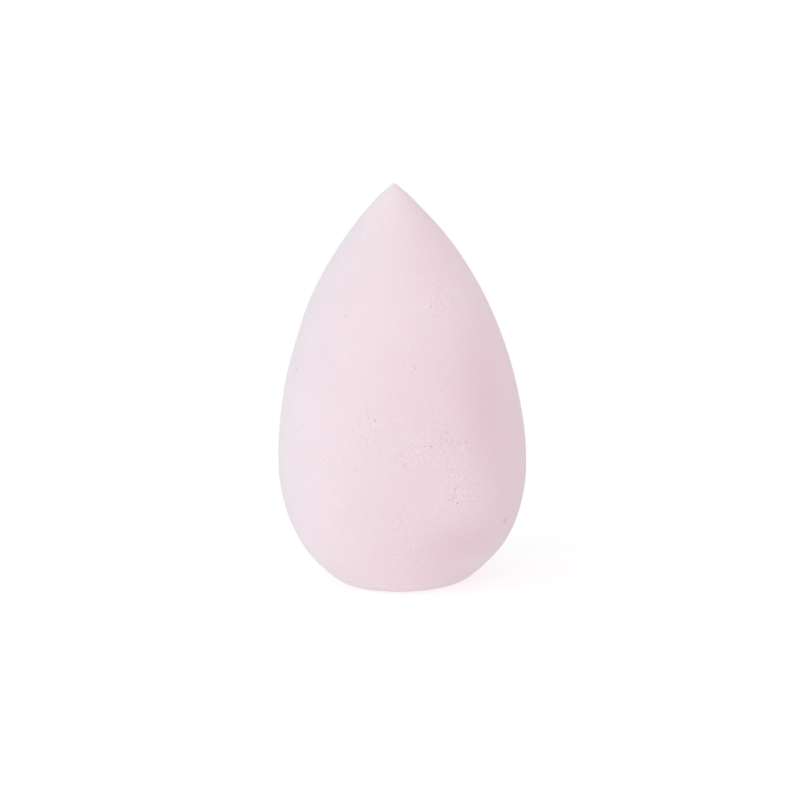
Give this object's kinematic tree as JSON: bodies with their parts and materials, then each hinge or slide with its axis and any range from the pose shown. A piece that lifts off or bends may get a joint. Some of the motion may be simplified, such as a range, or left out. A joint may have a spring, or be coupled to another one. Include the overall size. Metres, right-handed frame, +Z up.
{
  "type": "makeup sponge",
  "caption": "Teardrop foam makeup sponge with a pointed tip, a round belly and a flat foot to stand on, held in the fingers to dab and blend cream or liquid makeup.",
  "frame": {"origin": "centre of the flat foot, on the surface that the sponge stands on", "axes": "+Z up through the tip, along the axis that the outline is turned about; +X to the right and +Y away from the viewer, as the picture shows the sponge"},
  "size_m": [0.04, 0.04, 0.0645],
  "materials": {
    "foam": "soft matte fine-celled foam, pale pink"
  },
  "bodies": {
    "root": {"sponge_body": "foam"}
  },
  "joints": []
}
